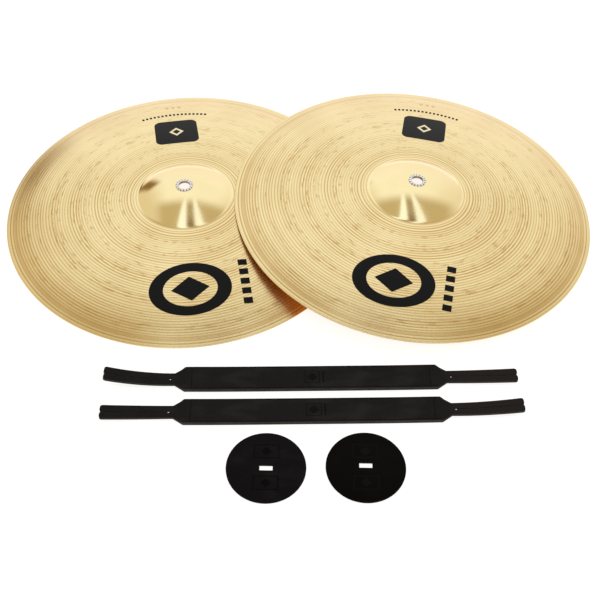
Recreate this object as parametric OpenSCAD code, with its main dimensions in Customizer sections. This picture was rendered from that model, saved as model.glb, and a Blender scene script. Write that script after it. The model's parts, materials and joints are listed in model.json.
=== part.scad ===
// A pair of hand cymbals with their leather carrying straps and backing pads, laid out on a table.
// One cymbal lies flat and the other leans on its bow. The origin is on the table, under the middle
// of the whole set, with +X along its length and +Y towards the cymbals.

/* [Cymbals] */
// Rim diameter
rim_d = 457.2; // [440:0.2:470]
// Thickness of the brass
plate_t = 1.3; // [1:0.1:1.5]
// Diameter of the bell at its foot
bell_d = 124; // [110:1:130]
// Height of the bell's foot over the rim
foot_h = 25; // [22:0.5:26]
// Height of the bell's crown over the rim
crown_h = 41.6; // [38:0.1:44]
// Degrees that the bow turns through from the bell to the rim
bow_turn = 9; // [4:0.5:12]
// Radius of the fillet where the bell meets the bow
fillet_r = 10; // [6:1:14]
// Radius of the flat land round the centre hole
land_r = 12; // [11.5:0.5:13]

/* [Eyelets] */
// Radius of the clear hole
bore_r = 7; // [6:0.05:7.2]
// Wall of the eyelet's barrel
barrel_t = 0.8; // [0.6:0.1:1]
// Radius of the flange on the outside
flange_r = 11; // [10:0.1:11.4]
// Radius of the rolled edge on the inside
roll_r = 10; // [9:0.1:10.5]
// Thickness of the flange and of the rolled edge
flange_t = 1.2; // [0.8:0.1:1.6]
// Radius of the rounding on every edge of the eyelet
eyelet_edge = 0.4; // [0.2:0.05:0.4]

/* [Straps] */
// Length of the padded body
body_len = 282; // [260:1:290]
// Width of the padded body
body_w = 30.8; // [28:0.2:34]
// Length of the taper from the body to a tail
shoulder_len = 11; // [8:0.5:14]
// Length of a tail
tail_len = 79.8; // [70:0.2:90]
// Width of a tail at the shoulder
tail_w = 15.2; // [14:0.2:18]
// Width of a tail at its tip, where its two ribbons spread
tail_tip_w = 17.2; // [15:0.2:20]
// Thickness of one layer of leather
leather_t = 1.6; // [1.2:0.1:2]
// Thickness of the felt core
core_t = 2.4; // [1:0.1:3]
// Distance from a seam to the end of the body
seam_gap = 8; // [6:0.5:12]
// Width of the slit that parts a tail into two ribbons
slit_w = 0.7; // [0.4:0.1:1.2]
// Radius of the punched hole that stops the slit
stop_r = 1.5; // [0.8:0.1:2]
// Distance from the shoulder to the stop hole
stop_gap = 5; // [4:0.5:10]
// Radius of the corners at a ribbon's end
ribbon_corner = 3; // [1:0.5:4]

/* [Stitching] */
// Stitches in one seam
stitches = 6; // [4:1:8]
// Length of a stitch
stitch_len = 2.8; // [2:0.1:3.2]
// Width of the thread
thread_w = 0.8; // [0.5:0.1:1]
// Height that a stitch stands over the leather
thread_h = 0.5; // [0.3:0.1:0.8]

/* [Pads] */
// Pad diameter
pad_d = 84.4; // [76:0.2:92]
// Pad thickness
pad_t = 2.4; // [2:0.1:4]
// Radius of the rounding on a pad's edges
pad_edge = 0.8; // [0.4:0.1:1.2]
// Length of the slot for the strap's tails
slot_len = 13.8; // [12:0.2:18]
// Width of the slot
slot_w = 6; // [5:0.2:10]
// How far the left pad's slot is punched from its middle, along Y
left_slot_y = -0.8; // [-3:0.1:3]
// How far the right pad's slot is punched from its middle, along Y
right_slot_y = 1.8; // [-3:0.1:3]

/* [Layout] */
// Distance along X between the two cymbals
pair_x = 291; // [288:1:294]
// Distance along Y between the two cymbals
pair_y = 2; // [0:0.5:4]
// Degrees that the second cymbal leans
lean = 3.3; // [3.3:0.05:3.5]
// Direction that it leans in, in degrees from +X
lean_turn = 8; // [4:1:12]
// Place of the rear strap's middle, across from the flat cymbal's axis
rear_strap_x = 162.6; // [155:0.5:170]
// Distance from the flat cymbal's axis forward to the rear strap's middle
rear_strap_y = 269.2; // [265:0.2:275]
// Place of the front strap's middle, across from the flat cymbal's axis
front_strap_x = 164.7; // [155:0.5:170]
// Distance from the flat cymbal's axis forward to the front strap's middle
front_strap_y = 313; // [309:0.5:316]
// Degrees that both straps are turned
strap_turn = 1.9; // [0:0.1:3]
// Place of the left pad, across from the flat cymbal's axis
left_pad_x = 116.2; // [110:0.2:120]
// Place of the right pad, across from the flat cymbal's axis
right_pad_x = 220.7; // [215:0.2:225]
// Distance from the flat cymbal's axis forward to the left pad
left_pad_y = 384.1; // [382:0.1:386]
// Distance from the flat cymbal's axis forward to the right pad
right_pad_y = 381.5; // [380:0.1:383]

/* [Hidden] */

round_facets = 128;
small_facets = 48;
cut = 1; // how far a cutting shape runs past what it cuts

brass_colour = [0.85, 0.70, 0.42];
metal_colour = [0.78, 0.78, 0.80];
leather_colour = [0.10, 0.10, 0.11];
felt_colour = [0.25, 0.25, 0.27];
thread_colour = [0.05, 0.05, 0.06];

rim_r = rim_d / 2;
bell_r = bell_d / 2;
half_t = plate_t / 2;

// The bow is one arc through the middle of the plate, from the bell's foot to the rim.
bow_run = rim_r - half_t - bell_r;
bow_chord = atan2(foot_h - half_t, bow_run);
bow_start = bow_chord - bow_turn / 2;
bow_end = bow_chord + bow_turn / 2;
bow_radius = bow_run / (sin(bow_end) - sin(bow_start));
bow_x = bell_r - bow_radius * sin(bow_start);
bow_z = foot_h - bow_radius * cos(bow_start);

// The bell is a dome whose arc meets the foot's fillet at one tangent.
fillet_x = bell_r + fillet_r * sin(bow_start);
fillet_z = foot_h + fillet_r * cos(bow_start);
fillet_drop = fillet_z - crown_h;
dome_radius = (fillet_x * fillet_x + fillet_drop * fillet_drop - fillet_r * fillet_r)
    / (2 * (fillet_r - fillet_drop));
dome_z = crown_h - dome_radius;
dome_end = atan2(fillet_x, fillet_z - dome_z);
dome_start = asin(land_r / dome_radius);
land_z = dome_z + dome_radius * cos(dome_start);

barrel_r = bore_r + barrel_t;
hole_r = barrel_r + 0.05; // the plate's hole, an easy fit round the barrel
eyelet_top = land_z + half_t + flange_t;
eyelet_foot = land_z - half_t - flange_t;

seam_x = body_len / 2 - seam_gap;
core_len = body_len - 2 * leather_t;
core_w = body_w - 2 * leather_t;
cover_z = leather_t; // underside of the cover where it lies on the base
tail_t = 2 * leather_t;
body_t = tail_t + core_t;
tail_x = body_len / 2 + shoulder_len;
ribbon_w = (tail_w - slit_w) / 2;
ribbon_tip_w = (tail_tip_w - slit_w) / 2;

// Height of each tail's tip over the table: left and right of the rear strap, then the front one.
rear_curl = [14.5, 3.2];
front_curl = [3, 8.5];

// The set's own box is centred on the origin. A leaning disc reaches a little less than its radius.
lean_x = sin(lean) * cos(lean_turn);
lean_y = sin(lean) * sin(lean_turn);
reach_x = (rim_r - half_t) * sqrt(1 - lean_x * lean_x) + half_t;
reach_y = (rim_r - half_t) * sqrt(1 - lean_y * lean_y) + half_t;
left_x = (rim_r - pair_x - reach_x) / 2;
left_y = (left_pad_y + pad_d / 2 - pair_y - reach_y) / 2;
lean_lift = (rim_r - half_t) * sin(lean);

// Points on an arc, with angles taken clockwise from straight up.
function arc(x, z, r, from, to, steps) =
    [for (i = [0 : steps]) let (a = from + (to - from) * i / steps) [x + r * sin(a), z + r * cos(a)]];

function backwards(points) = [for (i = [len(points) - 1 : -1 : 0]) points[i]];

// One face of the plate, from the centre hole to the rim, at a distance from its middle.
function plate_face(s) = concat(
    [[hole_r, land_z + s]],
    arc(0, dome_z, dome_radius + s, dome_start, dome_end, 10),
    arc(fillet_x, fillet_z, fillet_r - s, 180 + dome_end, 180 + bow_start, 5),
    arc(bow_x, bow_z, bow_radius + s, bow_start, bow_end, 16)
);

module cymbal_plate() {
    color(brass_colour)
        rotate_extrude($fn = round_facets)
            polygon(concat(
                plate_face(half_t),
                arc(rim_r - half_t, half_t, half_t, bow_end + 30, bow_end + 150, 4),
                backwards(plate_face(-half_t))
            ));
}

// A tube through the centre hole, with a flange outside and its other end rolled over inside.
module eyelet() {
    e = eyelet_edge;
    color(metal_colour)
        rotate_extrude($fn = round_facets)
            polygon(concat(
                arc(bore_r + e, eyelet_foot + e, e, 270, 180, 3),
                arc(roll_r - e, eyelet_foot + e, e, 180, 90, 3),
                [[roll_r, land_z - half_t], [barrel_r, land_z - half_t]],
                [[barrel_r, land_z + half_t], [flange_r, land_z + half_t]],
                arc(flange_r - e, eyelet_top - e, e, 90, 0, 3),
                arc(bore_r + e, eyelet_top - e, e, 0, -90, 3)
            ));
}

module flat_place() {
    translate([left_x, left_y, 0]) children();
}

// The second cymbal's place: it stands on one point of its rim and leans over the first.
module leaning_place() {
    translate([left_x + pair_x, left_y + pair_y, lean_lift])
        rotate([0, 0, lean_turn]) rotate([0, lean, 0]) rotate([0, 0, -lean_turn]) children();
}

module rear_strap_place() {
    translate([left_x + rear_strap_x, left_y - rear_strap_y, 0]) rotate([0, 0, strap_turn]) children();
}

module front_strap_place() {
    translate([left_x + front_strap_x, left_y - front_strap_y, 0]) rotate([0, 0, strap_turn]) children();
}

// Outline of the strap's body with a shoulder at each end.
module body_outline() {
    polygon([
        for (turn = [1, -1]) each [
            [turn * body_len / 2, turn * body_w / 2],
            [-turn * body_len / 2, turn * body_w / 2],
            [-turn * tail_x, turn * tail_w / 2],
            [-turn * tail_x, -turn * tail_w / 2],
        ]
    ]);
}

// Outline of one ribbon of a tail, running along +X from the shoulder and widening to its tip.
module ribbon_outline() {
    c = ribbon_corner;
    polygon([[0, 0], [tail_len - c, 0], [tail_len - c, ribbon_tip_w], [0, ribbon_w]]);
    translate([tail_len - 2 * c, c]) square([2 * c, ribbon_tip_w - 2 * c]);
    for (y = [c, ribbon_tip_w - c]) translate([tail_len - c, y]) circle(r = c, $fn = small_facets);
}

// Outline of a tail: two ribbons that meet before the stop hole.
module tail_outline() {
    difference() {
        union() {
            for (side = [0, 1]) mirror([0, side]) translate([0, slit_w / 2]) ribbon_outline();
            translate([0, -slit_w]) square([stop_gap, 2 * slit_w]);
        }
        translate([stop_gap, 0]) circle(r = stop_r, $fn = small_facets);
    }
}

// One layer of a tail between two heights, curling up along an arc to its tip's height.
module tail_layer(z_low, z_high, curl) {
    radius = (tail_len * tail_len + curl * curl) / (2 * curl);
    sweep = 1.2 * atan2(tail_len, radius - curl);
    translate([tail_x, 0, 0])
        intersection() {
            translate([0, 0, radius]) rotate([90, 0, 0]) rotate([0, 0, -90])
                rotate_extrude(angle = sweep, $fn = round_facets)
                    translate([radius - z_high, -tail_w]) square([z_high - z_low, 2 * tail_w]);
            translate([0, 0, -cut]) linear_extrude(curl + body_t + 2 * cut) tail_outline();
        }
}

module both_tails(z_low, z_high, curls) {
    tail_layer(z_low, z_high, curls[1]);
    mirror([1, 0, 0]) tail_layer(z_low, z_high, curls[0]);
}

module strap_base(curls) {
    color(leather_colour) {
        linear_extrude(leather_t) body_outline();
        both_tails(0, leather_t, curls);
    }
}

// The cover lies on the base at its shoulders and tails, and boxes in the core along the body.
module strap_cover(curls) {
    color(leather_colour) {
        difference() {
            union() {
                translate([0, 0, cover_z]) linear_extrude(leather_t) body_outline();
                translate([-body_len / 2, -body_w / 2, cover_z]) cube([body_len, body_w, body_t - cover_z]);
            }
            translate([-core_len / 2, -core_w / 2, cover_z - cut]) cube([core_len, core_w, core_t + cut]);
        }
        both_tails(cover_z, tail_t, curls);
    }
}

module strap_core() {
    color(felt_colour)
        translate([-core_len / 2, -core_w / 2, cover_z]) cube([core_len, core_w, core_t]);
}

// A row of stitches across the strap along each seam, lying on the cover.
module strap_thread() {
    pitch = body_w / stitches;
    color(thread_colour)
        for (side = [-1, 1], i = [0 : stitches - 1])
            translate([side * seam_x, (i + 0.5) * pitch - body_w / 2, body_t + thread_h / 2])
                cube([thread_w, stitch_len, thread_h], center = true);
}

// A pad whose slot is punched a little off its middle.
module pad(slot_y) {
    e = pad_edge;
    r = pad_d / 2;
    color(leather_colour)
        difference() {
            rotate_extrude($fn = round_facets)
                polygon(concat(
                    [[0, 0]],
                    arc(r - e, e, e, 180, 90, 4),
                    arc(r - e, pad_t - e, e, 90, 0, 4),
                    [[0, pad_t]]
                ));
            translate([-slot_len / 2, slot_y - slot_w / 2, -cut]) cube([slot_len, slot_w, pad_t + 2 * cut]);
        }
}

module left_cymbal() { flat_place() cymbal_plate(); }
module left_eyelet() { flat_place() eyelet(); }
module right_cymbal() { leaning_place() cymbal_plate(); }
module right_eyelet() { leaning_place() eyelet(); }

module rear_strap_base() { rear_strap_place() strap_base(rear_curl); }
module rear_strap_core() { rear_strap_place() strap_core(); }
module rear_strap_cover() { rear_strap_place() strap_cover(rear_curl); }
module rear_strap_thread() { rear_strap_place() strap_thread(); }

module front_strap_base() { front_strap_place() strap_base(front_curl); }
module front_strap_core() { front_strap_place() strap_core(); }
module front_strap_cover() { front_strap_place() strap_cover(front_curl); }
module front_strap_thread() { front_strap_place() strap_thread(); }

module left_pad() { translate([left_x + left_pad_x, left_y - left_pad_y, 0]) pad(left_slot_y); }
module right_pad() { translate([left_x + right_pad_x, left_y - right_pad_y, 0]) pad(right_slot_y); }

left_cymbal();
left_eyelet();
right_cymbal();
right_eyelet();
rear_strap_base();
rear_strap_core();
rear_strap_cover();
rear_strap_thread();
front_strap_base();
front_strap_core();
front_strap_cover();
front_strap_thread();
left_pad();
right_pad();
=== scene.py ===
import json
import math

import bpy
from bpy.props import FloatProperty, FloatVectorProperty, IntProperty, PointerProperty
from mathutils import Matrix, Vector


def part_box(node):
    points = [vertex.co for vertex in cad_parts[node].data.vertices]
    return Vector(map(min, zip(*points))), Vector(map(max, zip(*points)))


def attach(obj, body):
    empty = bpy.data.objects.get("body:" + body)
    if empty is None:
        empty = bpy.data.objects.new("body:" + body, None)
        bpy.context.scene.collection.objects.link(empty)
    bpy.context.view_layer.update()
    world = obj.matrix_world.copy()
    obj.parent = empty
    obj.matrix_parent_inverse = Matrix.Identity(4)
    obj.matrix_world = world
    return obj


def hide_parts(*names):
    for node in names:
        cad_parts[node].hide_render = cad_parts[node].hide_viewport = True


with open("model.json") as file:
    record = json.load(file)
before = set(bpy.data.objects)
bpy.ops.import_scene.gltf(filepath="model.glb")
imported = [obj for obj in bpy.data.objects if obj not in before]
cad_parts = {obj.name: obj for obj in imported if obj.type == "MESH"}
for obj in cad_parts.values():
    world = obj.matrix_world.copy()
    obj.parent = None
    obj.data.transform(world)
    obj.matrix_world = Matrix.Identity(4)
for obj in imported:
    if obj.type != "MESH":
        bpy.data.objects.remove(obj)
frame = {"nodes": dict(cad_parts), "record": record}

bl_info = {
    "name": "Hand cymbals",
    "version": (1, 0, 0),
    "blender": (4, 5, 0),
    "location": "3D View > Sidebar > Cymbals",
    "description": "Builds a pair of lathed brass hand cymbals with their straps and pads",
    "category": "Object",
}

MM = 0.001
# How far each cymbal is turned on its axis.
PRINT_TURNS = {"left": math.radians(10.4), "right": math.radians(-9.3)}
# A debossed mark's colour is its leather's times this: pale on the right pad, dark elsewhere.
PAD_MARK_TONES = {"left": 0.2, "right": 3.6}
# On the straps this tone also colours the painted shade along the seams and long edges.
STRAP_MARK_TONE = 0.25
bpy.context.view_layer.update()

# The leaning cymbal's bore says where its axis points, and the flat one's says where it stands.
BORES = {mount["name"]: mount for mount in frame["record"]["mounts"] if mount["kind"] == "bore"}


def upright_turn(axis):
    """The turn that leans a part so that its +Z points along axis, without spinning it."""
    return Vector((0, 0, 1)).rotation_difference(Vector(axis)).to_matrix().to_4x4()


def axis_of(side):
    """A cymbal's frame: its origin is on its own rim plane, on its axis."""
    mount = BORES[side + "_eyelet_bore"]
    lean = upright_turn(mount["axis"])
    crown = BORES["left_eyelet_bore"]["pos_m"][2]
    return Matrix.Translation(Vector(mount["pos_m"]) - lean @ Vector((0, 0, crown))) @ lean


# ---- properties


class CymbalSizes(bpy.types.PropertyGroup):
    """Sizes and colours of the two plates."""

    plate: FloatProperty(
        name="Plate", description="Thickness of the brass", default=1.3 * MM, unit="LENGTH")
    bell_radius: FloatProperty(
        name="Bell radius", description="Radius of the bell at its foot",
        default=62 * MM, unit="LENGTH")
    foot_height: FloatProperty(
        name="Foot height", description="Height of the bell's foot over the rim",
        default=25 * MM, unit="LENGTH")
    crown_height: FloatProperty(
        name="Crown height", description="Height of the bell over the rim",
        default=41.6 * MM, unit="LENGTH")
    bow_turn: FloatProperty(
        name="Bow turn", description="Angle that the bow turns through",
        default=math.radians(9), subtype="ANGLE")
    fillet: FloatProperty(
        name="Fillet", description="Radius where the bell meets the bow",
        default=10 * MM, unit="LENGTH")
    land: FloatProperty(
        name="Land", description="Radius of the flat land round the hole",
        default=12 * MM, unit="LENGTH")
    hole: FloatProperty(
        name="Hole", description="Radius of the hole in the plate",
        default=7.85 * MM, unit="LENGTH")
    groove: FloatProperty(
        name="Groove", description="Depth of the widest lathe grooves",
        default=0.05 * MM, unit="LENGTH")
    segments: IntProperty(name="Segments", description="Steps round the plate", default=240, min=48)
    brass: FloatVectorProperty(
        name="Brass", description="Colour of the freshly cut brass",
        default=(0.92, 0.775, 0.445), subtype="COLOR")
    # Deep brass darkens the hammer dashes, tarnish and stamps. It also paints shade into the lathe
    # grooves, the turned rings, the bell's foot and the front rim.
    brass_deep: FloatVectorProperty(
        name="Deep brass", description="Colour in the grooves",
        default=(0.56, 0.355, 0.125), subtype="COLOR")
    brass_inside: FloatVectorProperty(
        name="Inside", description="Colour of the unpolished inside",
        default=(0.93, 0.42, 0.09), subtype="COLOR")
    ink: FloatVectorProperty(
        name="Ink", description="Colour of the printed marks",
        default=(0.004, 0.004, 0.005), subtype="COLOR")
    nickel: FloatVectorProperty(
        name="Nickel", description="Colour of the eyelets",
        default=(0.80, 0.79, 0.78), subtype="COLOR")


class StrapSizes(bpy.types.PropertyGroup):
    """Sizes and colours of the two carrying straps."""

    body_length: FloatProperty(
        name="Body length", description="Length of the padded body",
        default=282 * MM, unit="LENGTH")
    body_width: FloatProperty(
        name="Body width", description="Width of the padded body", default=30.8 * MM, unit="LENGTH")
    shoulder: FloatProperty(
        name="Shoulder", description="Length of the taper to a tail",
        default=11 * MM, unit="LENGTH")
    tail_length: FloatProperty(
        name="Tail length", description="Length of a tail", default=79.8 * MM, unit="LENGTH")
    tail_width: FloatProperty(
        name="Tail width", description="Width of a tail at the shoulder",
        default=15.2 * MM, unit="LENGTH")
    tip_width: FloatProperty(
        name="Tip width", description="Width of a tail at its tip",
        default=17.2 * MM, unit="LENGTH")
    rear_lift: FloatVectorProperty(
        name="Rear lift", description="Height of the rear strap's tips, left then right", size=2,
        default=(14.5 * MM, 3.2 * MM), unit="LENGTH")
    front_lift: FloatVectorProperty(
        name="Front lift", description="Height of the front strap's tips, left then right", size=2,
        default=(3 * MM, 8.5 * MM), unit="LENGTH")
    sag: FloatProperty(
        name="Sag", description="How far the body's middle hangs under its ends",
        default=1.2 * MM, unit="LENGTH")
    leather: FloatProperty(
        name="Leather", description="Thickness of one layer", default=1.6 * MM, unit="LENGTH")
    core: FloatProperty(
        name="Core", description="Thickness of the felt core", default=2.4 * MM, unit="LENGTH")
    seam_gap: FloatProperty(
        name="Seam gap", description="From a seam to the body's end", default=8 * MM, unit="LENGTH")
    slit: FloatProperty(
        name="Slit", description="Width of a tail's slit", default=0.7 * MM, unit="LENGTH")
    stop_gap: FloatProperty(
        name="Stop gap", description="From the shoulder to the punched hole",
        default=5 * MM, unit="LENGTH")
    stop_radius: FloatProperty(
        name="Stop radius", description="Radius of the punched hole",
        default=1.5 * MM, unit="LENGTH")
    stitches: IntProperty(name="Stitches", description="Stitches in one seam", default=6, min=2)
    leather_colour: FloatVectorProperty(
        name="Leather", description="Colour of the leather's face",
        default=(0.0098, 0.0088, 0.0096), subtype="COLOR")
    edge_colour: FloatVectorProperty(
        name="Cut edge", description="Colour of the leather's cut edge",
        default=(0.045, 0.036, 0.032),
        subtype="COLOR")
    felt_colour: FloatVectorProperty(
        name="Felt", description="Colour of the felt core",
        default=(0.05, 0.05, 0.055), subtype="COLOR")
    thread_colour: FloatVectorProperty(
        name="Thread", description="Colour of the stitching",
        default=(0.012, 0.012, 0.014), subtype="COLOR")


class PadSizes(bpy.types.PropertyGroup):
    """Sizes and colours of the two backing pads."""

    radius: FloatProperty(
        name="Radius", description="Radius of a pad", default=42.2 * MM, unit="LENGTH")
    thickness: FloatProperty(
        name="Thickness", description="Thickness of a pad", default=2.4 * MM, unit="LENGTH")
    slot_length: FloatProperty(
        name="Slot length", description="Length of the slot", default=13.8 * MM, unit="LENGTH")
    slot_width: FloatProperty(
        name="Slot width", description="Width of the slot", default=6 * MM, unit="LENGTH")
    left_colour: FloatVectorProperty(
        name="Left pad", description="Colour of the left pad",
        default=(0.0046, 0.0040, 0.0046), subtype="COLOR")
    right_colour: FloatVectorProperty(
        name="Right pad", description="Colour of the right pad",
        default=(0.0016, 0.0012, 0.0008), subtype="COLOR")


class StageSettings(bpy.types.PropertyGroup):
    """The camera, floor and light."""

    camera_place: FloatVectorProperty(
        name="Camera", description="Place of the camera",
        default=(0.0034, -0.83447, 0.91208), subtype="XYZ")
    pitch: FloatProperty(
        name="Pitch", description="Angle below the horizon",
        default=math.radians(49.44), subtype="ANGLE")
    roll: FloatProperty(
        name="Roll", description="Roll of the camera", default=math.radians(0.99), subtype="ANGLE")
    lens: FloatProperty(name="Lens", description="Focal length in millimetres", default=60.15)
    floor_size: FloatProperty(
        name="Floor", description="Width of the floor", default=60.0, unit="LENGTH")
    sky: FloatProperty(name="Sky", description="Strength of the studio's soft light", default=1.08)


GROUPS = {
    "cymbal_sizes": CymbalSizes,
    "strap_sizes": StrapSizes,
    "pad_sizes": PadSizes,
    "stage_settings": StageSettings,
}


# ---- shader maths


class Wire:
    """A shader socket that sums, multiplies and compares as a number does."""

    def __init__(self, shader, socket):
        self.shader = shader
        self.socket = socket

    def maths(self, operation, *others, swap=False):
        values = (self, *others)
        if swap:
            values = values[::-1]
        return self.shader.node("Math", {"operation": operation}, dict(enumerate(values)))[0]

    def __add__(self, other):
        return self.maths("ADD", other)

    def __sub__(self, other):
        return self.maths("SUBTRACT", other)

    def __mul__(self, other):
        return self.maths("MULTIPLY", other)

    def __truediv__(self, other):
        return self.maths("DIVIDE", other)

    def __rsub__(self, other):
        return self.maths("SUBTRACT", other, swap=True)

    def __abs__(self):
        return self.maths("ABSOLUTE")

    def __pow__(self, power):
        return self.maths("POWER", power)

    __radd__ = __add__
    __rmul__ = __mul__

    def least(self, other):
        return self.maths("MINIMUM", other)

    def most(self, other):
        return self.maths("MAXIMUM", other)

    def sine(self):
        return self.maths("SINE")

    def cosine(self):
        return self.maths("COSINE")

    def root(self):
        return self.maths("SQRT")

    def ramp(self, start, end, low=0.0, high=1.0):
        """Low before start, high after end, and smooth between them."""
        values = {"Value": self, "From Min": start, "From Max": end, "To Min": low, "To Max": high}
        return self.shader.node("MapRange", {"interpolation_type": "SMOOTHSTEP"}, values)["Result"]


class Sockets:
    """A node's outputs, each as a Wire, by name or number."""

    def __init__(self, shader, node):
        self.shader = shader
        self.made = node

    def __getitem__(self, key):
        return Wire(self.shader, self.made.outputs[key])


class Shader:
    """A node tree that grows one node at a time. The same class serves materials and the sky."""

    def __init__(self, owner):
        owner.use_nodes = True
        self.tree = owner.node_tree
        self.tree.nodes.clear()

    def node(self, kind, settings=None, values=None):
        """A new node with these settings, and these values or wires in its inputs."""
        made = self.tree.nodes.new("ShaderNode" + kind)
        for name, value in (settings or {}).items():
            setattr(made, name, value)
        for key, value in (values or {}).items():
            self.feed(made.inputs[key], value)
        return Sockets(self, made)

    def feed(self, socket, value):
        if isinstance(value, Wire):
            self.tree.links.new(value.socket, socket)
        elif socket.type == "RGBA" and len(value) == 3:
            socket.default_value = (*value, 1.0)
        else:
            socket.default_value = value

    def mix(self, factor, first, second):
        """A colour that goes from first to second."""
        settings = {"data_type": "RGBA", "clamp_factor": True}
        return self.node("Mix", settings, {0: factor, 6: first, 7: second})[2]

    def vector(self, x=0.0, y=0.0, z=0.0):
        return self.node("CombineXYZ", None, {"X": x, "Y": y, "Z": z})["Vector"]

    def turn(self, x, y):
        """The angle of a point, in radians clockwise from +Y."""
        return self.node("Math", {"operation": "ARCTAN2"}, {0: x, 1: y})[0]

    def parts(self, vector):
        made = self.node("SeparateXYZ", None, {"Vector": vector})
        return made["X"], made["Y"], made["Z"]

    def noise(self, vector, scale, detail=2.0, rough=0.5):
        """Soft noise from 0 to 1 over a vector, in turns per unit."""
        values = {"Vector": vector, "Scale": scale, "Detail": detail, "Roughness": rough}
        return self.node("TexNoise", None, values)["Fac"]

    def line_noise(self, along, detail=0.0, seed=0.0):
        """Soft noise from 0 to 1 along one number."""
        values = {"W": along + seed, "Scale": 1.0, "Detail": detail}
        return self.node("TexNoise", {"noise_dimensions": "1D"}, values)["Fac"]

    def placed(self, place, unit=MM):
        """Object coordinates in a piece's own frame, in that unit."""
        spot, turn, _ = place.decompose()
        settings = {"vector_type": "TEXTURE"}
        values = {"Vector": self.node("TexCoord")["Object"], "Location": spot,
                  "Rotation": turn.to_euler(), "Scale": (unit, unit, unit)}
        return self.node("Mapping", settings, values)["Vector"]

    def bump(self, height, distance, strength):
        values = {"Height": height, "Distance": distance, "Strength": strength}
        return self.node("Bump", None, values)["Normal"]

    def finish(self, **values):
        """A Principled surface with these sockets, named with underscores for spaces."""
        values = {key.replace("_", " "): value for key, value in values.items()}
        made = self.node("BsdfPrincipled", None, values)
        self.node("OutputMaterial", None, {"Surface": made["BSDF"]})


def new_material(name):
    material = bpy.data.materials.new(name)
    return material, Shader(material)


def tinted(colour, share):
    """A colour made darker or lighter."""
    return tuple(channel * share for channel in colour)


# ---- brass


def between(value, low, high, soft):
    """1 where value lies between low and high, with soft edges."""
    return value.ramp(low - soft, low + soft) * value.ramp(high - soft, high + soft, 1.0, 0.0)


def block(x, y, middle, size, soft=0.25):
    """1 inside a rectangle."""
    return (abs(x - middle[0]).ramp(size[0] / 2 - soft, size[0] / 2 + soft, 1.0, 0.0)
            * abs(y - middle[1]).ramp(size[1] / 2 - soft, size[1] / 2 + soft, 1.0, 0.0))


def distance_from(x, y, middle, squash=1.0):
    """How far a point is from middle, with Y counted squash times."""
    dx, dy = x - middle[0], (y - middle[1]) * squash
    return (dx * dx + dy * dy).root()


def ring(distance, radius, width, soft=0.25):
    """1 on a ring of this radius and width."""
    return abs(distance - radius).ramp(width / 2 - soft, width / 2 + soft, 1.0, 0.0)


def emblem_mask(x, y):
    """A broad flattened ring round a lozenge, in millimetres."""
    middle, squash = (-9.0, -151.0), 1.36
    hoop = ring(distance_from(x, y, middle, squash), 41.0, 17.0)
    lozenge = abs(x - middle[0]) + abs(y - middle[1]) * squash
    return hoop.most(lozenge.ramp(22.8, 23.4, 1.0, 0.0))


def bars_mask(x, y):
    """A column of plain bars beside the emblem."""
    middle, pitch = (57.0, -148.0), 13.6
    column = block(x, y, middle, (11.0, 5 * pitch))
    step = ((y - middle[1]) / pitch + 50.5).maths("FRACT")
    return column * abs(step - 0.5).ramp(0.30, 0.33, 1.0, 0.0)


def badge_masks(x, y):
    """The ink of a plain round-cornered plate, and the pale lozenge left inside it."""
    middle, half_width, half_height, corner = 134.0, 29.0, 28.0, 9.0
    across = abs(x) - (half_width - corner)
    along = abs(y - middle) - (half_height - corner)
    ink = distance_from(across.most(0.0), along.most(0.0), (0.0, 0.0)).ramp(
        corner - 0.2, corner + 0.2, 1.0, 0.0)
    lozenge = abs(x) + abs(y - middle)
    outer, hollow = lozenge.ramp(9.6, 10.2, 1.0, 0.0), lozenge.ramp(5.2, 5.8, 1.0, 0.0)
    return ink, outer - hollow


def ticks_mask(radius, turn):
    """A row of short ticks on an arc over the badge."""
    row = between(radius, 176.6, 181.4, 0.3) * abs(turn).ramp(14.6, 14.8, 1.0, 0.0)
    step = (turn / 1.74 + 50.5).maths("FRACT")
    return row * abs(step - 0.5).ramp(0.26, 0.32, 1.0, 0.0)


def stamp_mask(radius, turn):
    """A faint stamped lozenge chain near the rim."""
    row = between(radius, 195.5, 203.5, 0.5) * abs(turn).ramp(3.5, 3.7, 1.0, 0.0)
    step = (turn / 2.4 + 50.5).maths("FRACT")
    return row * (abs(step - 0.5) * 9.0 + abs(radius - 199.5)).ramp(3.4, 4.0, 1.0, 0.0)


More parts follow.
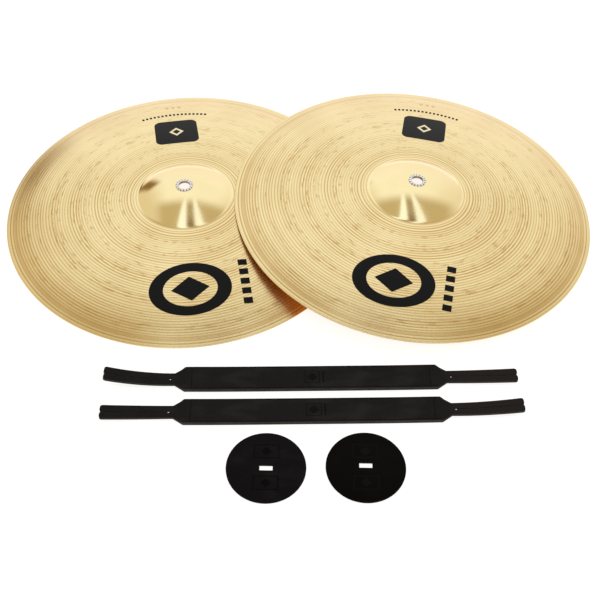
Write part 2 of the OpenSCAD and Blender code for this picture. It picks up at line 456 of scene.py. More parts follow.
def brass_material(name, place, print_turn, sizes, printed_side=True):
    """Lathed brass with hammer dashes, grooves in bands, and black printed marks on its outer side."""
    material, s = new_material(name)
    x, y, z = s.parts(s.placed(place @ Matrix.Rotation(print_turn, 4, "Z")))
    radius = (x * x + y * y).root()
    turn = s.turn(x, y) * math.degrees(1)
    bell = sizes.bell_radius / MM
    rim = PlateProfile(sizes).rim / MM
    on_bow = radius.ramp(bell - 1.0, bell + 5.0)

    # Lathe lines: an uneven comb, with broader turned bands that come and go. Along them the brass is
    # painted darker, as painted shade in the grooves.
    wander = s.line_noise(radius * 0.045) * 5.0
    comb = ((radius * (math.tau / 3.5) + wander).sine() * 0.5 + 0.5) ** 2.0
    fine = s.line_noise(radius * 0.85, detail=1.0, seed=50.0).ramp(0.35, 0.65)
    broad = s.line_noise(radius * 0.30, detail=1.0, seed=31.0).ramp(0.40, 0.62)
    waxing = s.line_noise(radius * 0.06, seed=7.0).ramp(0.36, 0.60, 0.7, 1.0)
    lines = (comb * 0.95 + fine * 0.25 + broad * 0.15) * waxing
    # Patches of wear soften the lines. The lines also fade towards the back of the plate, where the
    # reflected light is even, and that fade is painted light.
    wear_and_light_fade = s.noise(s.vector(x, y, z), 0.010, detail=2.0).ramp(0.3, 0.6, 0.75, 1.0)
    wear_and_light_fade = wear_and_light_fade * y.ramp(0.0, 150.0, 1.0, 0.4)
    lines = lines * on_bow * wear_and_light_fade * radius.ramp(rim - 6.0, rim - 3.0, 1.0, 0.45)

    # Hammer dashes run round the plate, in rings.
    dash_place = s.vector(x / radius * 12.0, y / radius * 12.0, radius * 0.34)
    dash = s.noise(dash_place, 1.0, detail=1.0).ramp(0.52, 0.72)
    dash_rings = s.line_noise(radius * 0.075, seed=91.0).ramp(0.42, 0.56)
    dash = dash * dash_rings * between(radius, bell + 14.0, rim - 20.0, 6.0)

    # Broad clouds of handling and tarnish.
    cloud = s.noise(s.vector(x, y, z), 0.014, detail=3.0).ramp(0.35, 0.7)

    # Turned rings that frame the bell and the rim, painted darker as shade in their grooves. The first
    # is a dark line at the bell's foot on the front side only, and it is painted shade.
    rings = (ring(radius, bell - 1.0, 1.5, 0.5) * y.ramp(-35.0, -10.0, 1.3, 0.0)
             + ring(radius, bell + 0.5, 1.6, 0.6) + ring(radius, bell + 7.0, 1.2, 0.6) * 0.6
             + ring(radius, bell + 12.0, 1.2, 0.6) * 0.5 + ring(radius, rim - 10.5, 1.6, 0.5)
             + ring(radius, rim - 13.5, 1.2, 0.5) * 0.7 + ring(radius, rim - 4.5, 1.0, 0.4) * 0.4)

    # The rim on the front side, nearest the pads, is painted a little darker as painted shade.
    front = radius.ramp(rim - 22.0, rim - 6.0) * y.ramp(-190.0, -110.0, 1.0, 0.0)
    # Some of this darkening is real: hammer dashes and tarnish. The rest is painted shade: lathe lines,
    # turned rings, the bell's foot and the front rim.
    dark = lines * 0.82 + dash * 0.38 + cloud * 0.10 + rings * 0.5 + front * 0.04
    brass, deep = tuple(sizes.brass), tuple(sizes.brass_deep)
    if not printed_side:
        brass, deep = tuple(sizes.brass_inside), tinted(sizes.brass_inside, 0.6)
    colour = s.mix(dark.least(1.0), brass, deep)

    printed = 0.0
    if printed_side:
        ink, pale = badge_masks(x, y)
        printed = emblem_mask(x, y).most(bars_mask(x, y)).most(ink - pale)
        printed = printed.most(ticks_mask(radius, turn))
        colour = s.mix(stamp_mask(radius, turn) * 0.6, colour, tuple(sizes.brass_deep))
        colour = s.mix(pale * ink * 0.7, colour, (0.80, 0.72, 0.50))
        colour = s.mix(printed, colour, tuple(sizes.ink))

    # The plate is hammered a little steeper towards its edge.
    edge = radius.ramp(rim - 50.0, rim)

    # Printed ink fills the grooves, so they only show through it faintly.
    height = (lines * -1.0 + dash * -0.5 - rings) * (1.0 - printed * 0.7)
    scratches = s.noise(s.vector(x / radius * 4.0, y / radius * 4.0, radius * 5.0), 1.0, detail=2.0)
    normal = s.bump(height + scratches * 0.10 - edge * edge * 40.0, distance=0.10 * MM, strength=0.6)
    roughness = 0.08 + on_bow * 0.10 + lines * 0.05 + cloud * 0.03 + dash * 0.04

    # The unpolished inside keeps a thin film of tarnish, which scatters light.
    film = 0.0 if printed_side else 0.45
    roughness = roughness + film * 0.5
    s.finish(
        Base_Color=colour,
        Metallic=1.0 - printed - film,
        Roughness=roughness * (1.0 - printed) + printed * 0.42,
        Specular_IOR_Level=0.12,
        Anisotropic=0.85,
        Normal=normal,
    )
    return material


def nickel_material(name, place, sizes):
    """Bright nickel with smears, and painted shade in the crimps round its flange and on its inner
    wall.
    """
    material, s = new_material(name)
    x, y, z = s.parts(s.placed(place))
    radius = (x * x + y * y).root()
    turn = s.turn(x, y)
    crimps = (turn * 16.0).cosine().ramp(0.35, 0.95) * radius.ramp(8.2, 9.2)
    lines = s.line_noise(radius * 9.0, detail=2.0)
    smear = s.noise(s.vector(x, y, z), 0.6, detail=3.0).ramp(0.4, 0.7)
    wall = radius.ramp(7.1, 7.5, 1.0, 0.0)
    # Painted shade in the crimps and on the inner wall, mixed with the smears.
    smear_and_shade = (crimps * 0.9 + smear * 0.25 + wall * 0.8).least(1.0)
    s.finish(
        Base_Color=s.mix(smear_and_shade, tuple(sizes.nickel), (0.20, 0.18, 0.13)),
        Metallic=1.0,
        Roughness=0.12 + smear * 0.14 + smear_and_shade * 0.1,
        Normal=s.bump(lines * 0.2 - crimps, distance=0.3 * MM, strength=0.8),
    )
    return material


# ---- leather, felt and thread


def leather_material(name, place, colour, emboss_and_shade, mark_tone, sheen):
    """Black leather face: pebbled grain, creases, scuffs and a debossed mark, which on the straps also
    carries painted shade along the seams and long edges.
    """
    material, s = new_material(name)
    spot = s.placed(place)
    x, y, z = s.parts(spot)
    cells = {"Vector": spot, "Scale": 1.1, "Smoothness": 0.4}
    pebbles = s.node("TexVoronoi", {"feature": "SMOOTH_F1"}, cells)
    pores = s.noise(spot, 2.6, detail=3.0, rough=0.6)
    wrinkle = s.noise(s.vector(x * 0.35, y, z), 0.22, detail=4.0, rough=0.6)
    scuff = s.noise(s.vector(x * 0.5, y, z), 0.06, detail=4.0).ramp(0.45, 0.75)
    grain = pebbles["Distance"] * 0.7 + pores * 0.3
    pale = tuple(c * 2.4 + 0.001 for c in colour)
    face = s.mix(scuff * 0.6 + grain.ramp(0.5, 0.9) * 0.25, colour, pale)
    height = grain * -0.10 + wrinkle * 0.25
    # The tails have been handled to a browner, duller black towards one end.
    face = s.mix(x.ramp(140.0, 165.0, 0.0, 0.45), face, (0.026, 0.020, 0.017))
    # On the straps the mark also holds painted shade along the seam creases and the long edges.
    mark = emboss_and_shade(s, x, y)
    height = height - mark * 0.5
    face = s.mix(mark * 0.8, face, tinted(colour, mark_tone))
    s.finish(
        Base_Color=face,
        Roughness=0.50 + scuff * 0.12 + pores * 0.08,
        Specular_IOR_Level=sheen,
        Normal=s.bump(height, distance=0.5 * MM, strength=0.6),
    )
    return material


def cut_edge_material(name, place, colour):
    """The raw cut edge of leather: fibres in layers, with stains."""
    material, s = new_material(name)
    spot = s.placed(place)
    x, y, z = s.parts(spot)
    fibre = s.noise(s.vector(x * 0.6, y * 0.6, z * 5.0), 1.0, detail=4.0, rough=0.7)
    stain = s.noise(spot, 0.08, detail=2.0).ramp(0.35, 0.7)
    tone = s.mix(fibre * 0.6 + stain * 0.4, colour, tinted(colour, 0.30))
    s.finish(
        Base_Color=tone,
        Roughness=0.75 + fibre * 0.2,
        Specular_IOR_Level=0.2,
        Normal=s.bump(fibre, distance=0.25 * MM, strength=0.8),
    )
    return material


def felt_material(name, colour):
    """Pressed felt: matted fibres with pale flecks."""
    material, s = new_material(name)
    spot = s.placed(Matrix.Identity(4))
    mat = s.noise(spot, 1.6, detail=5.0, rough=0.75)
    fleck = s.noise(spot, 4.0, detail=2.0).ramp(0.6, 0.75)
    share = mat.ramp(0.3, 0.7) * 0.7 + fleck * 0.3
    s.finish(
        Base_Color=s.mix(share, tinted(colour, 0.5), tinted(colour, 1.8)),
        Roughness=0.92 + mat * 0.06,
        Specular_IOR_Level=0.15,
        Normal=s.bump(mat, distance=0.4 * MM, strength=0.9),
    )
    return material


def thread_material(name, place, colour):
    """Twisted thread: slanting plies with a waxed shine."""
    material, s = new_material(name)
    x, y, z = s.parts(s.placed(place))
    plies = ((x * 1.4 + y * 2.6) * math.tau * 0.45).sine() * 0.5 + 0.5
    fuzz = s.noise(s.vector(x, y, z), 6.0, detail=2.0)
    s.finish(
        Base_Color=s.mix(plies, tinted(colour, 0.5), tinted(colour, 1.8)),
        Roughness=0.45 + fuzz * 0.2,
        Specular_IOR_Level=0.3,
        Normal=s.bump(plies + fuzz * 0.3, distance=0.12 * MM, strength=0.8),
    )
    return material


def strap_mark_and_shade(s, x, y):
    """A debossed lozenge in a box, with a bar at its right, and painted shade along the creases at the
    seams and along the long edges.
    """
    middle = 1.2
    box = block(x, y, (middle, 0.0), (17.0, 17.0)) - block(x, y, (middle, 0.0), (15.0, 15.0))
    lozenge = (abs(x - middle) + abs(y)).ramp(5.6, 6.2, 1.0, 0.0)
    bar = block(x, y, (middle + 12.5, 0.0), (2.2, 16.0))
    # Painted shade: dark lines along the seam creases and near the long edges.
    seams = ring(abs(x), 133.0, 1.3, 0.4) * 0.8
    border = ring(abs(y), 13.9, 0.9, 0.3) * abs(x).ramp(140.0, 141.0, 1.0, 0.0)
    return box.most(lozenge).most(bar).most(seams).most(border)


def pad_mark(s, x, y):
    """The same lozenge and box over and under the slot."""
    up = abs(y) - 19.0
    box = block(x, up, (0.0, 0.0), (27.0, 17.0)) - block(x, up, (0.0, 0.0), (24.6, 14.6))
    lozenge = (abs(x) + abs(up)).ramp(5.4, 6.0, 1.0, 0.0)
    return box.most(lozenge)


def floor_material():
    """Pale seamless paper."""
    material, s = new_material("paper")
    spot = s.placed(Matrix.Identity(4), unit=1.0)
    tooth = s.noise(spot, 900.0, detail=2.0)
    s.finish(
        Base_Color=s.mix(tooth * 0.4, (0.36, 0.36, 0.36), (0.33, 0.33, 0.33)),
        Roughness=0.9,
        Specular_IOR_Level=0.05,
        Emission_Color=(1.0, 1.0, 1.0),
        Emission_Strength=0.82,
        Normal=s.bump(tooth, distance=0.02 * MM, strength=0.2),
    )
    return material


# ---- modelling by hand


def start(adder, **settings):
    """Adds a primitive with nothing else selected and opens it in edit mode."""
    if bpy.context.object and bpy.context.object.mode != "OBJECT":
        bpy.ops.object.mode_set(mode="OBJECT")
    bpy.ops.object.select_all(action="DESELECT")
    adder(**settings)
    bpy.ops.object.mode_set(mode="EDIT")
    return bpy.context.object


def choose(obj, test, kind="VERT"):
    """In edit mode, selects the vertices, edges or faces whose middle passes test."""
    bpy.ops.mesh.select_mode(type=kind)
    bpy.ops.mesh.select_all(action="DESELECT")
    bpy.ops.object.mode_set(mode="OBJECT")
    mesh = obj.data
    items = {"VERT": mesh.vertices, "EDGE": mesh.edges, "FACE": mesh.polygons}[kind]
    for item in items:
        if kind == "VERT":
            middle = item.co
        elif kind == "EDGE":
            middle = (mesh.vertices[item.vertices[0]].co + mesh.vertices[item.vertices[1]].co) / 2
        else:
            middle = item.center
        item.select = bool(test(middle))
    bpy.ops.object.mode_set(mode="EDIT")


def cut_across(point, normal):
    """Cuts the whole open mesh with a plane."""
    bpy.ops.mesh.select_all(action="SELECT")
    bpy.ops.mesh.bisect(plane_co=point, plane_no=normal)


def extrude_along(distance):
    """Extrudes what is selected along X."""
    bpy.ops.mesh.extrude_region_move(TRANSFORM_OT_translate={"value": (distance, 0, 0)})


def close_mesh():
    """Merges doubles, turns faces outwards and leaves edit mode."""
    bpy.ops.mesh.select_all(action="SELECT")
    bpy.ops.mesh.remove_doubles(threshold=1e-6)
    bpy.ops.mesh.normals_make_consistent(inside=False)
    bpy.ops.object.mode_set(mode="OBJECT")


def make_active(obj):
    """Selects one object alone."""
    bpy.ops.object.select_all(action="DESELECT")
    bpy.context.view_layer.objects.active = obj
    obj.select_set(True)


def apply_modifier(obj, kind, **settings):
    """Adds a modifier and applies it."""
    make_active(obj)
    modifier = obj.modifiers.new(kind.title(), kind)
    for name, value in settings.items():
        setattr(modifier, name, value)
    bpy.ops.object.modifier_apply(modifier=modifier.name)


def shade(obj, degrees):
    make_active(obj)
    bpy.ops.object.shade_smooth_by_angle(angle=math.radians(degrees))


def finish_leather(piece, face, edge):
    """Gives the flat faces one finish and the cut edges another."""
    piece.data.materials.append(face)
    piece.data.materials.append(edge)
    for polygon in piece.data.polygons:
        polygon.material_index = 1 if abs(polygon.normal.z) < 0.35 else 0


def copy_of(obj, name):
    """A copy with its own mesh."""
    twin = obj.copy()
    twin.data = obj.data.copy()
    twin.name = twin.data.name = name
    bpy.context.scene.collection.objects.link(twin)
    return twin


def put(obj, name, place, body, *nodes):
    """Names a finished piece, moves its mesh to its place, and hands it to its body."""
    obj.name = obj.data.name = name
    obj.data.transform(place)
    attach(obj, body)
    if nodes:
        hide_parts(*nodes)


def spun_profile(points, steps):
    """Spins a closed profile of (radius, height) points round the Z axis."""
    obj = start(bpy.ops.mesh.primitive_plane_add, size=MM, location=(0, 0, 0))
    bpy.ops.mesh.merge(type="CENTER")
    here = Vector((0, 0, 0))
    first = Vector((points[0][0], 0, points[0][1]))
    bpy.ops.transform.translate(value=first - here)
    here = first
    for radius, height in [*points[1:], points[0]]:
        there = Vector((radius, 0, height))
        bpy.ops.mesh.extrude_region_move(TRANSFORM_OT_translate={"value": there - here})
        here = there
    bpy.ops.mesh.select_all(action="SELECT")
    bpy.ops.mesh.spin(steps=steps, angle=math.tau, center=(0, 0, 0), axis=(0, 0, 1))
    close_mesh()
    return obj


def arc(middle, radius, first, last, steps):
    """Points on an arc, with angles in radians taken clockwise from straight up."""
    turns = [first + (last - first) * i / steps for i in range(steps + 1)]
    return [(middle[0] + radius * math.sin(a), middle[1] + radius * math.cos(a)) for a in turns]


# ---- pieces


class PlateProfile:
    """The curve through the middle of a cymbal's plate: a dome, a fillet and a bow."""

    def __init__(self, sizes):
        self.half = sizes.plate / 2
        self.sizes = sizes
        low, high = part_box("left_cymbal")
        self.rim = (high[0] - low[0]) / 2
        run = self.rim - self.half - sizes.bell_radius
        chord = math.atan2(sizes.foot_height - self.half, run)
        self.bow_start, self.bow_end = chord - sizes.bow_turn / 2, chord + sizes.bow_turn / 2
        self.bow_radius = run / (math.sin(self.bow_end) - math.sin(self.bow_start))
        self.bow = (sizes.bell_radius - self.bow_radius * math.sin(self.bow_start),
                    sizes.foot_height - self.bow_radius * math.cos(self.bow_start))
        self.fillet = (sizes.bell_radius + sizes.fillet * math.sin(self.bow_start),
                       sizes.foot_height + sizes.fillet * math.cos(self.bow_start))
        drop = self.fillet[1] - sizes.crown_height
        self.dome_radius = ((self.fillet[0] ** 2 + drop ** 2 - sizes.fillet ** 2)
                            / (2 * (sizes.fillet - drop)))
        self.dome_height = sizes.crown_height - self.dome_radius
        self.dome_end = math.atan2(self.fillet[0], self.fillet[1] - self.dome_height)
        self.dome_start = math.asin(sizes.land / self.dome_radius)
        self.land_height = self.dome_height + self.dome_radius * math.cos(self.dome_start)

    def face(self, away, bow_steps, bell_steps):
        """One face of the plate, from the hole to the rim, at a distance from its middle."""
        fillet_steps = max(4, bell_steps // 4)
        return [
            (self.sizes.hole, self.land_height + away),
            *arc((0, self.dome_height), self.dome_radius + away, self.dome_start, self.dome_end,
                 bell_steps),
            *arc(self.fillet, self.sizes.fillet - away, math.pi + self.dome_end,
                 math.pi + self.bow_start, fillet_steps)[1:],
            *arc(self.bow, self.bow_radius + away, self.bow_start, self.bow_end, bow_steps)[1:],
        ]

    def grooved(self, bow_steps, bell_steps):
        """The outer face with lathe grooves turned into it."""
        points = []
        for radius, height in self.face(self.half, bow_steps, bell_steps):
            bow_share = min(1, max(0, (radius - self.sizes.bell_radius) / (6 * MM)))
            rim_share = min(1, max(0, (self.rim - radius - 1 * MM) / (8 * MM)))
            beat = math.sin(radius * 1450) * math.sin(radius * 233 + 1)
            beat = beat + 0.6 * math.sin(radius * 911 + 2)
            depth = self.sizes.groove * (0.5 + 0.5 * beat / 1.6) * bow_share * rim_share
            points.append((radius, height - depth))
        return points

    def outline(self):
        """The closed outline of the plate's cross-section."""
        rim_cap = arc((self.rim - self.half, self.half), self.half, self.bow_end + 0.4,
                      self.bow_end + math.pi - 0.4, 5)
        return [*self.grooved(250, 28), *rim_cap, *reversed(self.face(-self.half, 40, 12))]


class CYMBALS_OT_plates(bpy.types.Operator):
    """Spin both brass plates from one grooved profile."""

    bl_idname = "cymbals.plates"
    bl_label = "Plates"

    def execute(self, context):
        sizes = context.scene.cymbal_sizes
        plate = spun_profile(PlateProfile(sizes).outline(), sizes.segments)
        shade(plate, 30)
        for side, print_turn in PRINT_TURNS.items():
            piece = copy_of(plate, side + "_plate")
            place = axis_of(side)
            outer = brass_material(side + "_brass", place, print_turn, sizes)
            inner = brass_material(side + "_inner_brass", place, print_turn, sizes, printed_side=False)
            piece.data.materials.append(outer)
            piece.data.materials.append(inner)
            for polygon in piece.data.polygons:
                polygon.material_index = 0 if polygon.normal.z > 0 else 1
            put(piece, side + "_plate", place, side + "_cymbal", side + "_cymbal")
        bpy.data.objects.remove(plate)
        return {"FINISHED"}


class CYMBALS_OT_eyelets(bpy.types.Operator):
    """Turn both eyelets, with a flange that is crimped into petals."""

    bl_idname = "cymbals.eyelets"
    bl_label = "Eyelets"

    def execute(self, context):
        sizes = context.scene.cymbal_sizes
        profile = PlateProfile(sizes)
        low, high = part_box("left_eyelet")
        bore = BORES["left_eyelet_bore"]["dims"]["r_mm"] * MM
        barrel = bore + 0.8 * MM
        flange = (high[0] - low[0]) / 2
        edge = 0.4 * MM
        top, foot = high[2], low[2]
        roll = flange - 1 * MM
        above, below = profile.land_height + profile.half, profile.land_height - profile.half
        outline = [
            *arc((bore + edge, foot + edge), edge, 1.5 * math.pi, math.pi, 4),
            *arc((roll - edge, foot + edge), edge, math.pi, math.pi / 2, 4),
            (roll, below), (barrel, below), (barrel, above), (flange, above),
            *arc((flange - edge, top - 2 * edge), edge, math.pi / 2, 0.3, 4),
            ((bore + flange) / 2, top - 0.2 * edge),
            *arc((bore + 2 * edge, top - 2 * edge), 2 * edge, 0.2, -math.pi / 2, 6),
        ]
        steps = 96
        eyelet = spun_profile(outline, steps)
        bpy.ops.object.mode_set(mode="EDIT")
        petal = math.tau / 16

        def in_notch(v):
            radius = math.hypot(v.x, v.y)
            off = (math.atan2(v.y, v.x) + petal / 2) % petal - petal / 2
            outside, raised = radius > bore + 2.4 * edge, v.z > above + 1.2 * edge
            return outside and raised and abs(off) < 0.6 * math.tau / steps

        choose(eyelet, in_notch)
        bpy.ops.transform.translate(value=(0, 0, -0.45 * MM))
        close_mesh()
        shade(eyelet, 40)
        for side in ("left", "right"):
            piece = copy_of(eyelet, side + "_ferrule")
            place = axis_of(side)
            piece.data.materials.append(nickel_material(side + "_nickel", place, sizes))
            put(piece, side + "_ferrule", place, side + "_cymbal", side + "_eyelet")
        bpy.data.objects.remove(eyelet)
        return {"FINISHED"}


def strap_place(which):
    """A strap's frame, worked out from its core's box."""
    low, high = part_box(which + "_strap_core")
    middle = (low + high) / 2
    sizes = bpy.context.scene.strap_sizes
    length = sizes.body_length - 2 * sizes.leather
    width = sizes.body_width - 2 * sizes.leather
    # A thin box that is turned a little grows in Y by its length times the turn.
    turn = math.asin(((high.y - low.y) - width) / length)
    return Matrix.Translation((middle.x, middle.y, 0)) @ Matrix.Rotation(turn, 4, "Z")


def rounding(inside, radius):
    """How far a corner of this radius pulls the end back, this far inside the side."""
    return radius - math.sqrt(radius ** 2 - min(radius, max(0, radius - inside)) ** 2)


def leather_layer(sizes):
    """One flat layer of a strap: body, shoulders, and tails slit into ribbons with round ends."""
    half_body, half_slit = sizes.body_length / 2, sizes.slit / 2
    taper = sizes.tail_width / sizes.body_width
    obj = start(bpy.ops.mesh.primitive_plane_add, size=1, location=(0, 0, 0))
    bpy.ops.transform.resize(value=(sizes.body_length, sizes.body_width, 1))
    bpy.ops.object.mode_set(mode="OBJECT")
    bpy.ops.object.transform_apply(location=True, rotation=True, scale=True)
    bpy.ops.object.mode_set(mode="EDIT")
    for lane in (-0.47, -0.42, -0.3, -0.15, -0.06, 0.06, 0.15, 0.3, 0.42, 0.47):
        cut_across((0, lane * sizes.body_width, 0), (0, 1, 0))
    for side in (-1, 1):
        cut_across((0, side * half_slit / taper, 0), (0, 1, 0))
    root = half_body + sizes.shoulder
    tip = root + sizes.tail_length
    for side in (-1, 1):
        choose(obj, lambda m: m.x * side > half_body - 1e-5, "EDGE")
        extrude_along(side * sizes.shoulder)
        bpy.ops.transform.resize(value=(1, taper, 1))
        extrude_along(side * sizes.stop_gap)
        stop = root + sizes.stop_gap
        choose(obj, lambda m: m.x * side > stop - 1e-5 and abs(m.y) > half_slit, "EDGE")
        extrude_along(side * (sizes.tail_length - sizes.stop_gap))
        bpy.ops.transform.resize(value=(1, sizes.tip_width / sizes.tail_width, 1))
    step = 5 * MM
    for i in range(1, int(tip / step)):
        for side in (-1, 1):
            cut_across((side * i * step, 0, 0), (1, 0, 0))
    close_mesh()
    for v in obj.data.vertices:
        if abs(v.co.x) > tip - 0.01 * MM:
            outer = rounding(sizes.tip_width / 2 - abs(v.co.y), 3 * MM)
            inner = rounding(abs(v.co.y) - half_slit, 2.2 * MM)
            v.co.x -= math.copysign(max(outer, inner), v.co.x)
    return obj


class CYMBALS_OT_straps(bpy.types.Operator):
    """Cut, pad and sew both carrying straps."""

    bl_idname = "cymbals.straps"
    bl_label = "Straps"

    def execute(self, context):
        sizes = context.scene.strap_sizes
        flat = leather_layer(sizes)
        apply_modifier(flat, "SOLIDIFY", thickness=sizes.leather, offset=1)
        stop = sizes.body_length / 2 + sizes.shoulder + sizes.stop_gap
        for side in (-1, 1):
            punch = start(bpy.ops.mesh.primitive_cylinder_add, vertices=24, radius=sizes.stop_radius,
                          depth=6 * sizes.leather, location=(side * stop, 0, 0))
            bpy.ops.object.mode_set(mode="OBJECT")
            apply_modifier(flat, "BOOLEAN", operation="DIFFERENCE", object=punch, solver="EXACT")
            bpy.data.objects.remove(punch)
        low = min(v.co.z for v in flat.data.vertices)
        flat.data.transform(Matrix.Translation((0, 0, -low)))
        for which in ("rear", "front"):
            self.build(which, flat, sizes)
        bpy.data.objects.remove(flat)
        return {"FINISHED"}

    def build(self, which, flat, sizes):
        place = strap_place(which)
        body = which + "_strap"
        face = leather_material(which + "_leather", place, tuple(sizes.leather_colour), strap_mark_and_shade,
                                STRAP_MARK_TONE, sheen=0.05)
        edge = cut_edge_material(which + "_cut_edge", place, tuple(sizes.edge_colour))
        lifts = sizes.rear_lift if which == "rear" else sizes.front_lift

        base = copy_of(flat, which + "_under")
        self.dress(base, face, edge, sizes, lifts)
        put(base, which + "_under", place, body, which + "_strap_base")

        cover = copy_of(flat, which + "_cover")
        cover.data.transform(Matrix.Translation((0, 0, sizes.leather)))
        self.pad_out(cover, sizes)
        self.dress(cover, face, edge, sizes, lifts)
        put(cover, which + "_cover", place, body, which + "_strap_cover")

        thread = self.stitch(which, sizes)
        waxed = thread_material(which + "_thread", place, tuple(sizes.thread_colour))
        thread.data.materials.append(waxed)
        put(thread, which + "_stitching", place, body, which + "_strap_thread")

        core = frame["nodes"][which + "_strap_core"]
        for slot in core.material_slots:
            slot.material = felt_material(which + "_felt", tuple(sizes.felt_colour))

    def pad_out(self, cover, sizes):
        """Lifts the cover's top over the core, with a slight crown and a crease along each seam."""
        seam = sizes.body_length / 2 - sizes.seam_gap
        end = sizes.body_length / 2
        half = sizes.body_width / 2
        for v in cover.data.vertices:
            if v.co.z < 1.5 * sizes.leather:
                continue
            body = min(1, max(0, (end + 3 * MM - abs(v.co.x)) / (5 * MM)))
            crown = 0.86 + 0.14 * (1 - (v.co.y / half) ** 4)
            crease = 0.35 * math.exp(-((abs(v.co.x) - seam) / (1.3 * MM)) ** 2)
            v.co.z += sizes.core * (body * body * (3 - 2 * body) * crown - crease)

    def dress(self, piece, face, edge, sizes, lifts):
        """Rounds the edges, gives cut edges their own finish, and curls the tails."""
        apply_modifier(piece, "BEVEL", width=0.3 * MM, segments=2, limit_method="ANGLE",
                       angle_limit=math.radians(50))
        finish_leather(piece, face, edge)
        root = sizes.body_length / 2 + sizes.shoulder
        for v in piece.data.vertices:
            lift = lifts[1] if v.co.x > 0 else lifts[0]
            along = min(1, abs(v.co.x) / root)
            beyond = max(0, abs(v.co.x) - root) / sizes.tail_length
            rise = sizes.sag * along ** 4 + (lift - sizes.sag) * beyond ** 2
            slope = 2 * (lift - sizes.sag) * beyond / sizes.tail_length
            v.co.x -= math.copysign(slope * v.co.z + slope * lift * beyond / 3, v.co.x)
            v.co.z += rise
        shade(piece, 35)

    def stitch(self, which, sizes):
        """Two rows of stitches across the strap, copied from one rounded stitch."""
        low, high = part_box(which + "_strap_thread")
        width, height, length = 0.8 * MM, 0.5 * MM, 2.8 * MM
        one = start(bpy.ops.mesh.primitive_uv_sphere_add, segments=10, ring_count=6, radius=0.5,
                    location=(0, 0, 0))
        bpy.ops.transform.resize(value=(width, length, height))
        choose(one, lambda m: abs(m.y) < 0.2 * length)
        close_mesh()
        rows = []
        pitch = sizes.body_width / sizes.stitches
        seam = sizes.body_length / 2 - sizes.seam_gap
        for side in (-1, 1):
            for i in range(sizes.stitches):
                stitch = copy_of(one, "stitch")
                across = (i + 0.5) * pitch - sizes.body_width / 2
                stitch.data.transform(Matrix.Translation((side * seam, across, high.z - height / 2)))
                rows.append(stitch)
        bpy.data.objects.remove(one)
        bpy.ops.object.select_all(action="DESELECT")
        for stitch in rows:
            stitch.select_set(True)
        bpy.context.view_layer.objects.active = rows[0]
        bpy.ops.object.join()
        shade(rows[0], 60)
        return rows[0]


class CYMBALS_OT_pads(bpy.types.Operator):
    """Punch both leather backing pads."""

    bl_idname = "cymbals.pads"
    bl_label = "Pads"

    def execute(self, context):
        sizes = context.scene.pad_sizes
        colours = {"left": sizes.left_colour, "right": sizes.right_colour}
        slots = {o["name"]: o["box_m"] for o in frame["record"]["physics"]["openings"]}
        for side, colour in colours.items():
            low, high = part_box(side + "_pad")
            place = Matrix.Translation(((low.x + high.x) / 2, (low.y + high.y) / 2, low.z))
            opening = slots[side + "_pad_slot"]
            off = (opening[0][1] + opening[1][1]) / 2 - (low.y + high.y) / 2
            piece = self.punch(sizes, off)
            face = leather_material(side + "_pad_leather", place, tuple(colour), pad_mark,
                                    PAD_MARK_TONES[side], sheen=0.04)
            edge = cut_edge_material(side + "_pad_edge", place, tinted(colour, 2.2))
            finish_leather(piece, face, edge)
            put(piece, side + "_disc", place, side + "_pad", side + "_pad")
        return {"FINISHED"}

    def punch(self, sizes, off):
        """A disc with rounded edges and a slot punched a little off its middle."""
        disc = start(bpy.ops.mesh.primitive_cylinder_add, vertices=144, radius=sizes.radius,
                     depth=sizes.thickness, location=(0, 0, sizes.thickness / 2))
        bpy.ops.object.mode_set(mode="OBJECT")
        bpy.ops.object.transform_apply(location=True, rotation=True, scale=True)
        cutter = start(bpy.ops.mesh.primitive_cube_add, size=1, location=(0, off, 0))
        bpy.ops.transform.resize(value=(sizes.slot_length, sizes.slot_width, 4 * sizes.thickness))
        bpy.ops.object.mode_set(mode="OBJECT")
        apply_modifier(disc, "BOOLEAN", operation="DIFFERENCE", object=cutter, solver="EXACT")
        bpy.data.objects.remove(cutter)
        apply_modifier(disc, "BEVEL", width=0.7 * MM, segments=3, limit_method="ANGLE",
                       angle_limit=math.radians(50))
        shade(disc, 40)
        return disc


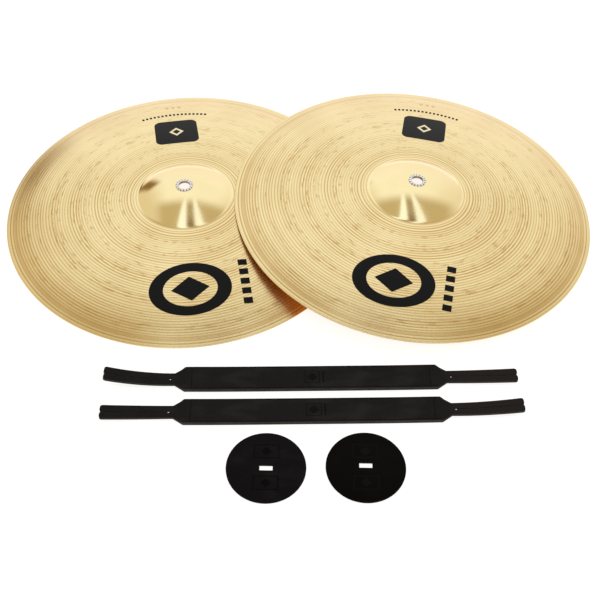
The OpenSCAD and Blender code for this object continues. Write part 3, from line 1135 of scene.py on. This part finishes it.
class CYMBALS_OT_stage(bpy.types.Operator):
    """Set the camera, the pale floor and the soft studio light."""

    bl_idname = "cymbals.stage"
    bl_label = "Stage"

    def execute(self, context):
        settings = context.scene.stage_settings
        self.camera(context.scene, settings)
        self.floor(settings)
        self.sky(context.scene, settings)
        context.scene.view_settings.view_transform = "Standard"
        return {"FINISHED"}

    def camera(self, scene, settings):
        data = bpy.data.cameras.new("camera")
        data.lens = settings.lens
        camera = bpy.data.objects.new("camera", data)
        scene.collection.objects.link(camera)
        down = Matrix.Rotation(math.pi / 2 - settings.pitch, 4, "X")
        camera.matrix_world = (Matrix.Translation(settings.camera_place) @ down
                               @ Matrix.Rotation(settings.roll, 4, "Z"))
        scene.camera = camera

    def floor(self, settings):
        floor = start(bpy.ops.mesh.primitive_plane_add, size=settings.floor_size, location=(0, 0, 0))
        bpy.ops.object.mode_set(mode="OBJECT")
        floor.name = "floor"
        floor.data.materials.append(floor_material())

    def sky(self, scene, settings):
        """A bright tent with a dark gap overhead, and two strips of light in that gap."""
        world = bpy.data.worlds.new("studio")
        scene.world = world
        s = Shader(world)
        x, y, z = s.parts(s.node("TexCoord")["Generated"])
        # The tent is open and darker behind the camera, and two tapering strips hang in the gap.
        gap = y.ramp(0.20, 0.50, 1.0, 0.0) * z.ramp(0.30, 0.55)
        gap = gap * abs(x - 0.1).ramp(0.56, 0.80, 1.0, 0.0)
        reach = y + 0.2
        half = 0.095 - reach * 0.115
        left_strip = abs(x + 0.100 - reach * 0.046) - half
        right_strip = abs(x - 0.275 + reach * 0.294) - half * 1.1
        strips = left_strip.least(right_strip).ramp(-0.005, 0.005, 1.0, 0.0)
        core = abs(x - 0.09).ramp(0.09, 0.16, 1.0, 0.0) * y.ramp(-0.30, 0.10, 1.0, 0.45)
        # One dark upright stands far off to the back left.
        side = s.turn(x, y) * math.degrees(1)
        post = ring(side, -35.0, 12.0, soft=4.0)
        post = post * z.ramp(0.32, 0.46, 1.0, 0.0) * z.ramp(0.06, 0.14)
        flank = x.ramp(-0.70, -0.36, 1.0, 0.0).most(x.ramp(0.36, 0.80, 0.0, 0.6))
        back = s.mix(z.ramp(0.1, 0.5), (1.00, 0.95, 0.92), (1.00, 1.01, 0.99))
        back = s.mix(flank, back, (0.78, 0.70, 0.55))
        open_side = s.mix(core, (0.58, 0.49, 0.32), (0.22, 0.15, 0.06))
        tent = s.mix(gap, back, s.mix(strips, open_side, (1.12, 1.22, 1.35)))
        tent = s.mix(post, tent, (0.26, 0.15, 0.05))
        glow = s.node("Background", None, {"Color": tent, "Strength": settings.sky})
        s.node("OutputWorld", None, {"Surface": glow["Background"]})


class CYMBALS_PT_sidebar(bpy.types.Panel):
    """The steps and sizes, in the sidebar."""

    bl_label = "Hand cymbals"
    bl_space_type = "VIEW_3D"
    bl_region_type = "UI"
    bl_category = "Cymbals"

    def draw(self, context):
        for operator in OPERATORS:
            self.layout.operator(operator.bl_idname)
        for name, group in GROUPS.items():
            box = self.layout.box()
            for key in group.__annotations__:
                box.prop(getattr(context.scene, name), key)


OPERATORS = (
    CYMBALS_OT_stage, CYMBALS_OT_plates, CYMBALS_OT_eyelets, CYMBALS_OT_straps, CYMBALS_OT_pads)


def register():
    for cls in (*GROUPS.values(), *OPERATORS, CYMBALS_PT_sidebar):
        bpy.utils.register_class(cls)
    for name, group in GROUPS.items():
        setattr(bpy.types.Scene, name, PointerProperty(type=group))


def unregister():
    for name in GROUPS:
        delattr(bpy.types.Scene, name)
    for cls in (CYMBALS_PT_sidebar, *reversed(OPERATORS), *GROUPS.values()):
        bpy.utils.unregister_class(cls)


def main():
    register()
    bpy.ops.cymbals.stage()
    bpy.ops.cymbals.plates()
    bpy.ops.cymbals.eyelets()
    bpy.ops.cymbals.straps()
    bpy.ops.cymbals.pads()


if __name__ == "__main__":
    main()
